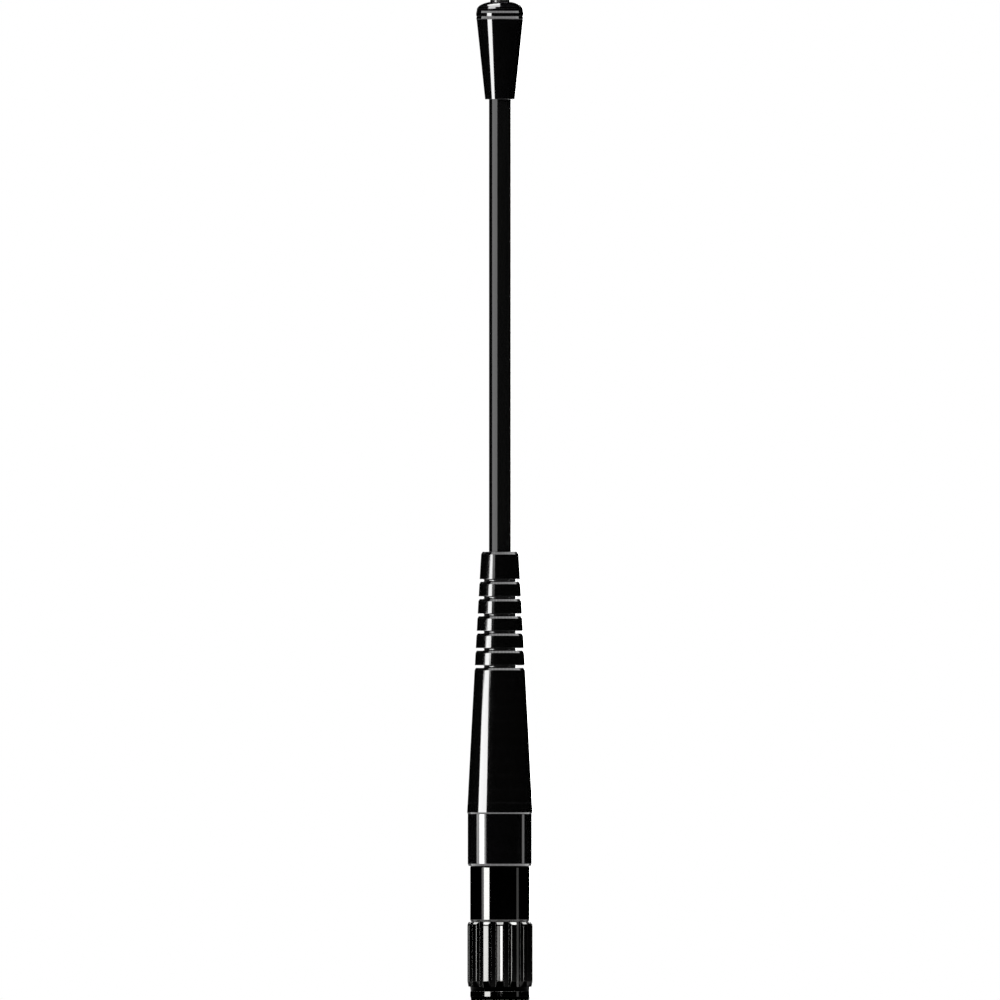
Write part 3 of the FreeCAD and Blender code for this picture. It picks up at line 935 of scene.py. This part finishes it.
@dataclass
class SpringSleeve(Piece):
    """Slotted outer contact. Sizes in mm.

    The inner and the outer wall share their heights up to the slots' ends, so each slot is the
    quads between two columns left out, with a wall along each side and a floor across. tip is how
    far in, and how high above it, the rows lie that round the free end.
    """

    name, node, slot, finish = "slotted_spring_sleeve", "outer_contact", "contact_metal", NICKEL

    radius: float = 4.05
    bore: float = 3.25
    rear: float = 11.1
    land: float = 4.35
    land_base: float = 7.5
    land_fillet: float = 0.05
    tip: tuple[Pair, ...] = ((0.22, 0.0), (0.09, 0.05), (0.0, 0.22), (0.0, 0.5))
    tip_share_inside: float = 0.5
    rows_from_tip: float = 0.9
    row_count: int = 6
    slot_count: int = 4
    slot_width: float = 0.4
    slot_top: float = 6.6
    slot_cover: float = 0.1
    slot_points: int = 5
    finger_points: int = 40

    def loop(self) -> tuple[np.ndarray, int]:
        """Section of the wall, up the outside and down the bore.

        Returns:
            Radius and height of each row, and the number of rows that each wall has in the slots.
        """
        base, (inset, rise) = base_of(self.node), np.array(self.tip).T
        height = np.concatenate([
            base + rise, np.linspace(base + self.rows_from_tip, self.slot_top, self.row_count),
        ])
        inset = np.concatenate([inset, np.zeros(self.row_count)])
        covered, fillet = self.slot_top + self.slot_cover, self.land_fillet
        rear = [
            (self.radius, covered), (self.radius, self.land_base - fillet),
            (self.radius + fillet, self.land_base), (self.land - fillet, self.land_base),
            (self.land, self.land_base + fillet), (self.land, self.rear),
            (self.bore, self.rear), (self.bore, covered),
        ]
        outer = np.column_stack([self.radius - inset, height])
        inner = np.column_stack([self.bore + inset * self.tip_share_inside, height])
        return np.concatenate([outer, rear, inner[::-1]]), len(height)

    def shape(self) -> Thing:
        """Turns the section, leaves the slots out and closes their sides and floors.

        Returns:
            The sleeve.
        """
        loop, count = self.loop()
        period, half_slot = 2 * math.pi / self.slot_count, self.slot_width / 2 / self.radius
        gap = np.linspace(-half_slot, half_slot, self.slot_points)
        finger = np.linspace(half_slot, period - half_slot, self.finger_points)[1:-1]
        one = np.concatenate([gap, finger]) + period / 2
        angle = (one + np.arange(self.slot_count)[:, None] * period).ravel()
        columns, rows = len(angle), len(loop)
        in_gap = np.tile(np.arange(len(one)) < self.slot_points - 1, self.slot_count)
        row = np.arange(rows)[:, None]
        in_slot = (row < count - 1) | (row >= rows - count)
        walls = grid_quads(rows, columns, rows_closed=True)[~(in_slot & in_gap).ravel()]
        left = np.arange(self.slot_count) * len(one)
        right = left + self.slot_points - 1
        level = np.arange(count - 1)[:, None]
        mirror = rows - 1 - level

        def side(column: np.ndarray) -> np.ndarray:
            """Quads between the outer and the inner wall along one side of every slot."""
            return quads(*(at * columns + column for at in (level, level + 1, mirror - 1, mirror)))

        across = (left[:, None] + np.arange(self.slot_points - 1)).ravel()
        outer, inner = (count - 1) * columns + across, (rows - count) * columns + across
        floor = quads(outer, outer + 1, inner + 1, inner)
        return make_object(self.name, around(loop[:, :1], angle, loop[:, 1:]),
                           [walls, side(left), side(right)[:, ::-1], floor[:, ::-1]])


@dataclass
class Dielectric(TurnedPiece):
    """Insulator round the pin, open in front, with the recess of the pin's collar."""

    name, node, slot, finish = "ptfe_dielectric", "front_insulator", "dielectric", PTFE
    segments = 96

    radius: float = 3.21
    socket: float = 2.425
    socket_depth: float = 6.3
    shank: float = 1.15
    recess: float = 1.8
    recess_depth: float = 1.4

    def corners(self, base: float, top: float) -> list[Corner]:
        """The insulator's wall.

        Args:
            base: height of the front face.
            top: height of the rear face.

        Returns:
            Radius, height and fillet of each corner.
        """
        socket_floor, recess_floor = base + self.socket_depth, top - self.recess_depth
        return [
            (self.socket, base, 0.08), (self.radius, base, 0.08), (self.radius, top, 0.05),
            (self.recess, top, 0.03), (self.recess, recess_floor, 0.03),
            (self.shank, recess_floor, 0.03), (self.shank, socket_floor, 0.03),
            (self.socket, socket_floor, 0.05),
        ]


@dataclass
class Seal(TurnedPiece):
    """Flat face seal round the sleeve's land."""

    name, node, slot, finish = "silicone_seal", "gasket", "seal", SILICONE
    segments = 96

    inner: float = 4.39
    outer: float = 5.44

    def corners(self, base: float, top: float) -> list[Corner]:
        """The seal's section."""
        return [(self.inner, base, 0.15), (self.outer, base, 0.15),
                (self.outer, top, 0.1), (self.inner, top, 0.1)]


@dataclass
class Pin(TurnedPiece):
    """Centre contact: pin, shank with a captive collar, and solder bucket."""

    name, node, slot, finish = "gold_plated_pin", "centre_contact", "pin_metal", GOLD
    closed = False
    segments = 64

    held_by: Dielectric = field(default_factory=Dielectric)
    nose: float = 0.26
    nose_length: float = 0.75
    radius: float = 0.675
    shank: float = 1.1
    collar: float = 1.75
    bucket: float = 0.6
    bucket_depth: float = 3.0

    def corners(self, base: float, top: float) -> list[Corner]:
        """The outline, from the nose to the floor of the bucket.

        Args:
            base: height of the nose.
            top: height of the bucket's rim.

        Returns:
            Radius, height and fillet of each corner.
        """
        rear = base_of(self.held_by.node) + self.held_by.socket_depth
        collar_top, floor = top_of(self.held_by.node), top - self.bucket_depth
        collar_base = collar_top - self.held_by.recess_depth
        return [
            (0.0, base, 0.0), (self.nose, base, 0.16), (self.radius, base + self.nose_length, 1.0),
            (self.radius, rear, 0.02), (self.shank, rear, 0.05), (self.shank, collar_base, 0.02),
            (self.collar, collar_base, 0.05), (self.collar, collar_top, 0.05),
            (self.shank, collar_top, 0.02), (self.shank, top, 0.05), (self.bucket, top, 0.05),
            (self.bucket, floor, 0.05), (0.0, floor, 0.0),
        ]


@dataclass
class HiddenPieces:
    """CAD nodes inside the antenna that keep their own meshes and get their finishes."""

    finishes: dict[str, Finish] = field(default_factory=lambda: {
        "snap_ring": SPRING_STEEL,
        "rear_insulator": PTFE,
        "coil_former": FILLED_PA,
        "loading_coil": ENAMELLED,
        "core_ferrule": TINNED,
        "whip_core": SPRING_STEEL,
        "tip_ferrule": TINNED,
    })

    def build(self, nodes: dict[str, Thing]) -> None:
        """Dresses the nodes.

        Args:
            nodes: the CAD nodes by name.
        """
        for name, finish in self.finishes.items():
            mesh = nodes[name].data
            mesh.materials.clear()
            mesh.materials.append(finish.material())
            LOG.info("%s: CAD mesh, %s", name, finish.name)


# Pieces in the order in which they are built
PIECES = (TipCap, Whip, Boot, CoilHousing, ConnectorBody, CouplingNut,
          SpringSleeve, Dielectric, Seal, Pin)


# Studio


@dataclass(frozen=True)
class Panel:
    """One rectangular lamp: its middle, width and height in mm, and two unit vectors.

    outward points away from what the lamp lights, and sideways runs along its width.
    """

    middle: np.ndarray
    outward: np.ndarray
    sideways: np.ndarray
    wide: float
    tall: float


def spanned(limits: Pair, distance: float) -> float:
    """Length that the angle a between two limits spans at a distance d: 2 d tan(a / 2)."""
    return 2 * distance * math.tan(math.radians(limits[1] - limits[0]) / 2)


@dataclass(frozen=True)
class Lamp:
    """A soft lamp on a ring round the antenna, turned to it.

    Azimuths are in degrees from the camera's side, positive to the right. An upright lamp has a
    range of heights in mm. A raised one has a range of elevations in degrees, as seen from a point
    on the axis at the height aim. strength is its radiance.
    """

    name: str
    azimuths: Pair
    strength: float
    lit: tuple[str, ...]
    heights: Pair = (-10.0, 290.0)
    elevations: Pair | None = None
    distance: float = 600.0
    aim: float = 112.0

    def panels(self) -> list[Panel]:
        """Places the lamp.

        Returns:
            Its one panel.
        """
        middle = math.radians(sum(self.azimuths) / 2)
        tilt, height, tall = 0.0, sum(self.heights) / 2, self.heights[1] - self.heights[0]
        if self.elevations:
            tilt, height = math.radians(sum(self.elevations) / 2), self.aim
            tall = spanned(self.elevations, self.distance)
        outward = around(np.array(math.cos(tilt)), np.array(middle), np.array(math.sin(tilt)))
        sideways = np.array([math.cos(middle), math.sin(middle), 0.0])
        return [Panel(outward * self.distance + (0, 0, height), outward, sideways,
                      spanned(self.azimuths, self.distance), tall)]


@dataclass(frozen=True)
class Card:
    """A soft lamp that hangs level and faces down. Sizes in mm, strength is its radiance."""

    name: str
    across: Pair
    along: Pair
    height: float
    strength: float
    lit: tuple[str, ...]

    def panels(self) -> list[Panel]:
        """Places the card.

        Returns:
            Its one panel.
        """
        middle = np.array([sum(self.across) / 2, sum(self.along) / 2, self.height])
        return [Panel(middle, np.array([0.0, 0.0, 1.0]), np.array([1.0, 0.0, 0.0]),
                      self.across[1] - self.across[0], self.along[1] - self.along[0])]


@dataclass(frozen=True)
class Arc:
    """A chain of soft lamps that a turned bevel mirrors into an unbroken line.

    Seen level from the front, the bevel's normal at the angle f leans up by the tilt t, or down if
    t is negative. Its mirrored ray has x = cos^2 t sin 2f, y = 1 - 2 cos^2 t cos^2 f and
    z = sin 2t cos f. The lamps join the points at a distance along that ray and overlap a little.
    Angles are in degrees, sizes in mm, and strength is the lamps' radiance.
    """

    name: str
    radius: float
    height: float
    tilt: float
    span: Pair
    spread: float
    strength: float
    lit: tuple[str, ...]
    distance: float = 600.0
    step: float = 9.0
    overlap: float = 1.04

    def panels(self) -> list[Panel]:
        """Places the lamps.

        Returns:
            One panel for each step along the line.
        """
        lean = math.radians(self.tilt)
        steps = round((self.span[1] - self.span[0]) / self.step)
        angle = np.radians(np.linspace(*self.span, steps + 1))
        ray = np.stack([
            math.cos(lean) ** 2 * np.sin(2 * angle),
            1 - 2 * (math.cos(lean) * np.cos(angle)) ** 2,
            math.sin(2 * lean) * np.cos(angle),
        ], axis=1)
        rim = around(np.array(self.radius), angle, np.array(self.height))
        place = rim + self.distance * ray
        chord = np.diff(place, axis=0)
        outward = ray[1:] + ray[:-1]
        outward /= np.linalg.norm(outward, axis=1)[:, None]
        sideways = chord - (chord * outward).sum(axis=1)[:, None] * outward
        wide = np.linalg.norm(sideways, axis=1)
        sideways /= wide[:, None]
        tall = spanned((-self.spread, self.spread), self.distance)
        middle = (place[1:] + place[:-1]) / 2
        return [Panel(*row, self.overlap * width, tall)
                for *row, width in zip(middle, outward, sideways, wide.tolist())]


# Names of the pieces that a lamp lights
CAP = (TipCap.name,)
SHEATH = (Whip.name,)
BOOT = (Boot.name,)
COLLAR = (CoilHousing.name,)
BODY = (ConnectorBody.name,)
NUT = (CouplingNut.name,)
INSIDE = (SpringSleeve.name, Dielectric.name, Seal.name, Pin.name)
FLOOR = ("studio_floor",)
PLUG_AND_WHIP = (*BOOT, *COLLAR, *BODY, *NUT, *INSIDE, *SHEATH)

# Radiance of the main light at the left, heights of the ribs, elevations of the lights from above,
# and the angles round each joint that the line under it covers
KEY = 12.0
RIB_HEIGHTS = (4.4, 17.6)
HIGH, HIGH_SIDE = (31.0, 75.0), (25.0, 55.0)
UNDER = (-64.0, 64.0)

LAMPS = (
    *(Lamp(f"key_for_boot_{part}", azimuths, KEY, BOOT, heights=heights)
      for part, azimuths, heights in (
          ("foot", (-82, -49), (-10, 117)), ("waist", (-79, -50), (117, 124)),
          ("middle", (-73, -51), (124, 137)), ("grooves", (-66, -44), (137, 157)),
          ("top", (-60, -46), (157, 290)))),
    Lamp("key_edge_on_boot_top", (-46, -31), 2.0, BOOT, heights=(157, 290)),
    Lamp("key_for_collar", (-79, -58), KEY, COLLAR),
    Lamp("key_edges_on_collar", (-92, -51), 3.0, COLLAR),
    Lamp("key_for_plug", (-65, -42), KEY, (*BODY, *CAP, *INSIDE)),
    Lamp("key_for_nut", (-62, -38), 9.0, NUT, heights=(-10, 45)),
    Lamp("key_edge_on_barrel", (-75, -65), 1.4, BODY),
    Lamp("key_for_whip", (-90, -29), 1.9, SHEATH),
    Lamp("side_line_on_collar", (86, 97), 1.3, COLLAR, heights=(15, 60)),
    Lamp("side_line_on_plug", (67, 77), 0.5, (*BODY, *NUT), heights=(-5, 45)),
    *(Lamp(f"centre_{part}_on_nut", azimuths, strength, NUT, heights=RIB_HEIGHTS, distance=60)
      for part, azimuths, strength in (
          ("line", (1.0, 9.5), 14.0), ("edge", (-6.5, -1.5), 3.0), ("fade", (-12, -6.5), 1.2))),
    Lamp("front_top", (-58, 58), 2.6, (*INSIDE, *SHEATH, *FLOOR), elevations=HIGH),
    Card("cap_shoulder", (-300, 0), (-120, 110), 640.0, 7.0, CAP),
    Card("cap_shoulder_top", (-170, 0), (110, 440), 640.0, 5.0, CAP),
    Arc("groove_lines", 5.0, 85.0, 26.6, (-28, 54), 6.0, 2.6, BOOT),
    Arc("cap_lines", 5.3, 221.5, 14.9, (-52, 52), 3.0, 2.4, CAP),
    Arc("line_under_boot", 7.3, 42.1, -21.3, UNDER, 3.0, 2.0, BOOT, distance=45.0, step=12.0),
    Arc("line_under_collar", 7.15, 30.5, -21.8, UNDER, 3.0, 2.0, COLLAR, distance=35.0, step=12.0),
    Arc("line_under_barrel", 6.6, 18.0, -20.9, UNDER, 3.0, 1.0, BODY, distance=22.0, step=12.0),
    Lamp("rib_ends", (-58, 58), 6.5, NUT, elevations=HIGH, aim=20.0),
    Lamp("rib_ends_right", (58, 118), 6.5, NUT, elevations=HIGH_SIDE, aim=20.0),
    Lamp("rib_ends_left", (-118, -58), 6.5, NUT, elevations=HIGH_SIDE, aim=20.0),
    Lamp("mouth_from_below", (-30, 30), 1.6, (*INSIDE, *NUT), elevations=(-104, -50), aim=0.0),
    Lamp("back_top", (122, 238), 2.6, PLUG_AND_WHIP, elevations=HIGH),
    Lamp("back_left", (163, 178), 6.0, (*PLUG_AND_WHIP, *CAP)),
)

# Azimuth and half width in degrees, and radiance, of the beams painted into the floor's reflection
# to stand for the lamps' own images in it, and how far past and short of that half width a beam's
# soft edge reaches
PAINTED_BEAMS = ((-58.0, 11.0, 7.0), (72.0, 5.0, 2.5), (171.0, 8.0, 5.0))
PAINTED_BEAM_EDGE = (1.25, 0.75)


@dataclass
class Studio:
    """Camera at the photograph's angle, pale floor with a painted reflection, white surroundings, soft
    lamps, and a dome of painted black that only reflections see.

    Sizes are in mm. Each pair of distances from the axis is where a soft step of the floor's painted
    reflection starts and ends: its base, which starts dark by the foot as painted shade, the painted
    beams that stand for the lamps' images in it, and its outer edge.
    """

    frame_height: float = 225.0
    camera_distance: float = 1000.0
    camera_lift: float = 0.1
    floor_rings: tuple[float, ...] = (6.2, 40.0, 200.0, 1000.0, 4000.0)
    painted_dome_radius: float = 900.0
    painted_dome_rows: int = 48
    painted_dome_rise: float = 88.0
    segments: int = 96
    ambient: float = 0.85
    # Painted reflection on the floor: its base radiance, where the base rises out of the painted shade
    # by the foot, where the painted beams start, and where it fades to black
    painted_gloss_base: float = 0.3
    painted_gloss_start: Pair = (16.0, 90.0)
    painted_beam_start: Pair = (84.0, 120.0)
    painted_gloss_end: Pair = (700.0, 890.0)
    groups: dict[tuple[str, ...], bpy.types.Collection] = field(default_factory=dict)

    def camera(self) -> None:
        """Makes the camera: level, in front, with the frame's lower edge on the floor."""
        data = bpy.data.cameras.new("camera")
        data.type = "ORTHO"
        data.ortho_scale = self.frame_height * MM
        camera = bpy.data.objects.new("camera", data)
        height = self.frame_height / 2 + self.camera_lift
        camera.location = (0, -self.camera_distance * MM, height * MM)
        camera.rotation_euler = (math.radians(90), 0, 0)
        bpy.context.scene.collection.objects.link(camera)
        bpy.context.scene.camera = camera

    def world(self) -> None:
        """Makes the surroundings: white to the eye, in gloss and through glass, soft as light."""
        world = bpy.data.worlds.new("white_surroundings")
        tree = fresh_tree(world)
        path = add_node(tree, "ShaderNodeLightPath").outputs
        seen = combine(tree, "MAXIMUM", path["Is Camera Ray"], path["Is Glossy Ray"])
        seen = combine(tree, "MAXIMUM", seen, path["Is Transmission Ray"])
        background = add_node(tree, "ShaderNodeBackground", {
            "Color": (1, 1, 1, 1), "Strength": remap(tree, seen, (0, 1), (self.ambient, 1)),
        })
        add_node(tree, "ShaderNodeOutputWorld", {"Surface": background.outputs["Background"]})
        bpy.context.scene.world = world

    def floor(self) -> None:
        """Makes the pale floor, clear from below and open under the plug, to look into it. Glossy rays
        see a painted reflection on it instead of its paint.
        """
        rings = np.array(self.floor_rings)
        points = around(rings[:, None], ring_angles(self.segments)[None, :], np.zeros((1, 1)))
        faces = grid_quads(len(rings), self.segments, rows_closed=False)
        floor = make_object(FLOOR[0], points, [faces[:, ::-1]])
        material = bpy.data.materials.new("painted_studio_floor")
        tree = fresh_tree(material)
        paint = add_node(tree, "ShaderNodeBsdfDiffuse", {"Color": linear("#efefed")})
        clear = add_node(tree, "ShaderNodeBsdfTransparent")
        side = add_node(tree, "ShaderNodeNewGeometry")
        # Painted reflection: an emission that only glossy rays see, in place of the floor's paint
        card = add_node(tree, "ShaderNodeEmission", {
            "Color": (1, 1, 1, 1), "Strength": self.gloss(tree),
        })
        path = add_node(tree, "ShaderNodeLightPath")
        seen = add_node(tree, "ShaderNodeMixShader", {
            0: path.outputs["Is Glossy Ray"], 1: paint.outputs["BSDF"], 2: card.outputs["Emission"],
        })
        mix = add_node(tree, "ShaderNodeMixShader", {
            0: side.outputs["Backfacing"], 1: seen.outputs["Shader"], 2: clear.outputs["BSDF"],
        })
        add_node(tree, "ShaderNodeOutputMaterial", {"Surface": mix.outputs["Shader"]})
        floor.data.materials.append(material)

    def gloss(self, tree: Tree) -> Socket:
        """Painted reflection that glossy rays find on the floor: a low base, dark by the foot as
        painted shade, and a painted beam under each main lamp.

        A beam at the azimuth a is as strong as the cosine between the place and (sin a, -cos a, 0)
        is near to 1.

        Args:
            tree: the floor's nodes.

        Returns:
            The radiance.
        """
        def step(value: Socket, source: Pair, target: Pair) -> Socket:
            """Soft step of a value between two limits."""
            return remap(tree, value, source, target, interpolation_type="SMOOTHSTEP")

        def vector(operation: str, output: str, *values: object) -> Socket:
            """Output of a vector maths node."""
            node = add_node(tree, "ShaderNodeVectorMath", dict(enumerate(values)), operation=operation)
            return node.outputs[output]

        place = add_node(tree, "ShaderNodeTexCoord").outputs["Object"]
        reach = vector("LENGTH", "Value", place)
        heading = vector("NORMALIZE", "Vector", place)
        begin, far, end = (tuple(limit * MM for limit in pair)
                           for pair in (self.painted_gloss_start, self.painted_beam_start, self.painted_gloss_end))
        level = step(reach, begin, (0.0, self.painted_gloss_base))
        for azimuth, half, strength in PAINTED_BEAMS:
            angle = math.radians(azimuth)
            middle = (math.sin(angle), -math.cos(angle), 0.0)
            along = vector("DOT_PRODUCT", "Value", heading, middle)
            limits = tuple(math.cos(math.radians(half * edge)) for edge in PAINTED_BEAM_EDGE)
            # Painted beam: a bright stripe in the floor's reflection at a main lamp's azimuth
            beam = combine(tree, "MULTIPLY", step(along, limits, (0.0, strength)),
                           step(reach, far, (0.0, 1.0)))
            level = combine(tree, "ADD", level, beam)
        return combine(tree, "MULTIPLY", level, step(reach, end, (1.0, 0.0)))

    def paint_dark_reflections(self) -> None:
        """Makes a dome of painted black, a painted dark reflection: only reflections meet it, so that
        gloss stays black.
        """
        rise = np.radians(np.linspace(-self.painted_dome_rise, self.painted_dome_rise, self.painted_dome_rows))[:, None]
        points = around(self.painted_dome_radius * np.cos(rise), ring_angles(self.segments)[None, :],
                        self.painted_dome_radius * np.sin(rise))
        faces = grid_quads(self.painted_dome_rows, self.segments, rows_closed=False)
        dome = make_object("dark_flags", points, [faces])
        material = bpy.data.materials.new("black_cloth_flags")
        tree = fresh_tree(material)
        painted_darkness = add_node(tree, "ShaderNodeEmission", {"Strength": 0.0})
        add_node(tree, "ShaderNodeOutputMaterial", {"Surface": painted_darkness.outputs["Emission"]})
        dome.data.materials.append(material)
        for kind in ("camera", "diffuse", "transmission", "volume_scatter", "shadow"):
            setattr(dome, f"visible_{kind}", False)

    def link(self, source: Thing, lit: tuple[str, ...]) -> None:
        """Lets a lamp light only some pieces.

        Lamps with the same pieces share a collection, because Cycles takes at most 64 sets.

        Args:
            source: the lamp.
            lit: names of the pieces.
        """
        if lit not in self.groups:
            self.groups[lit] = bpy.data.collections.new(f"lit_{len(self.groups)}")
            for name in lit:
                self.groups[lit].objects.link(bpy.data.objects[name])
        source.light_linking.receiver_collection = self.groups[lit]

    def lamp(self, spec: Lamp | Card | Arc) -> None:
        """Makes a lamp's panels and names what they light.

        A panel of the area A with the radiance L has the power pi A L.

        Args:
            spec: the lamp.
        """
        panels = spec.panels()
        for panel in panels:
            data = bpy.data.lights.new(spec.name, "AREA")
            data.shape = "RECTANGLE"
            data.size, data.size_y = panel.wide * MM, panel.tall * MM
            data.energy = spec.strength * math.pi * data.size * data.size_y
            lamp = bpy.data.objects.new(spec.name, data)
            upward = np.cross(panel.outward, panel.sideways)
            turn = Matrix((panel.sideways, upward, panel.outward)).transposed()
            lamp.matrix_world = Matrix.Translation(panel.middle * MM) @ turn.to_4x4()
            lamp.visible_camera = False
            bpy.context.scene.collection.objects.link(lamp)
            self.link(lamp, spec.lit)
        LOG.info("%s: %d panels, radiance %.1f", spec.name, len(panels), spec.strength)

    def build(self) -> None:
        """Makes the whole studio, once the pieces that the lamps light are there."""
        bpy.context.scene.view_settings.view_transform = "Standard"
        self.camera()
        self.world()
        self.floor()
        self.paint_dark_reflections()
        for spec in LAMPS:
            self.lamp(spec)


def main() -> None:
    """Loads the frame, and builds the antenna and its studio."""
    logging.basicConfig(level=logging.INFO, format="%(message)s")
    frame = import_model()
    for piece in PIECES:
        piece().build()
    HiddenPieces().build(frame["nodes"])
    Studio().build()


if __name__ == "__main__":
    main()
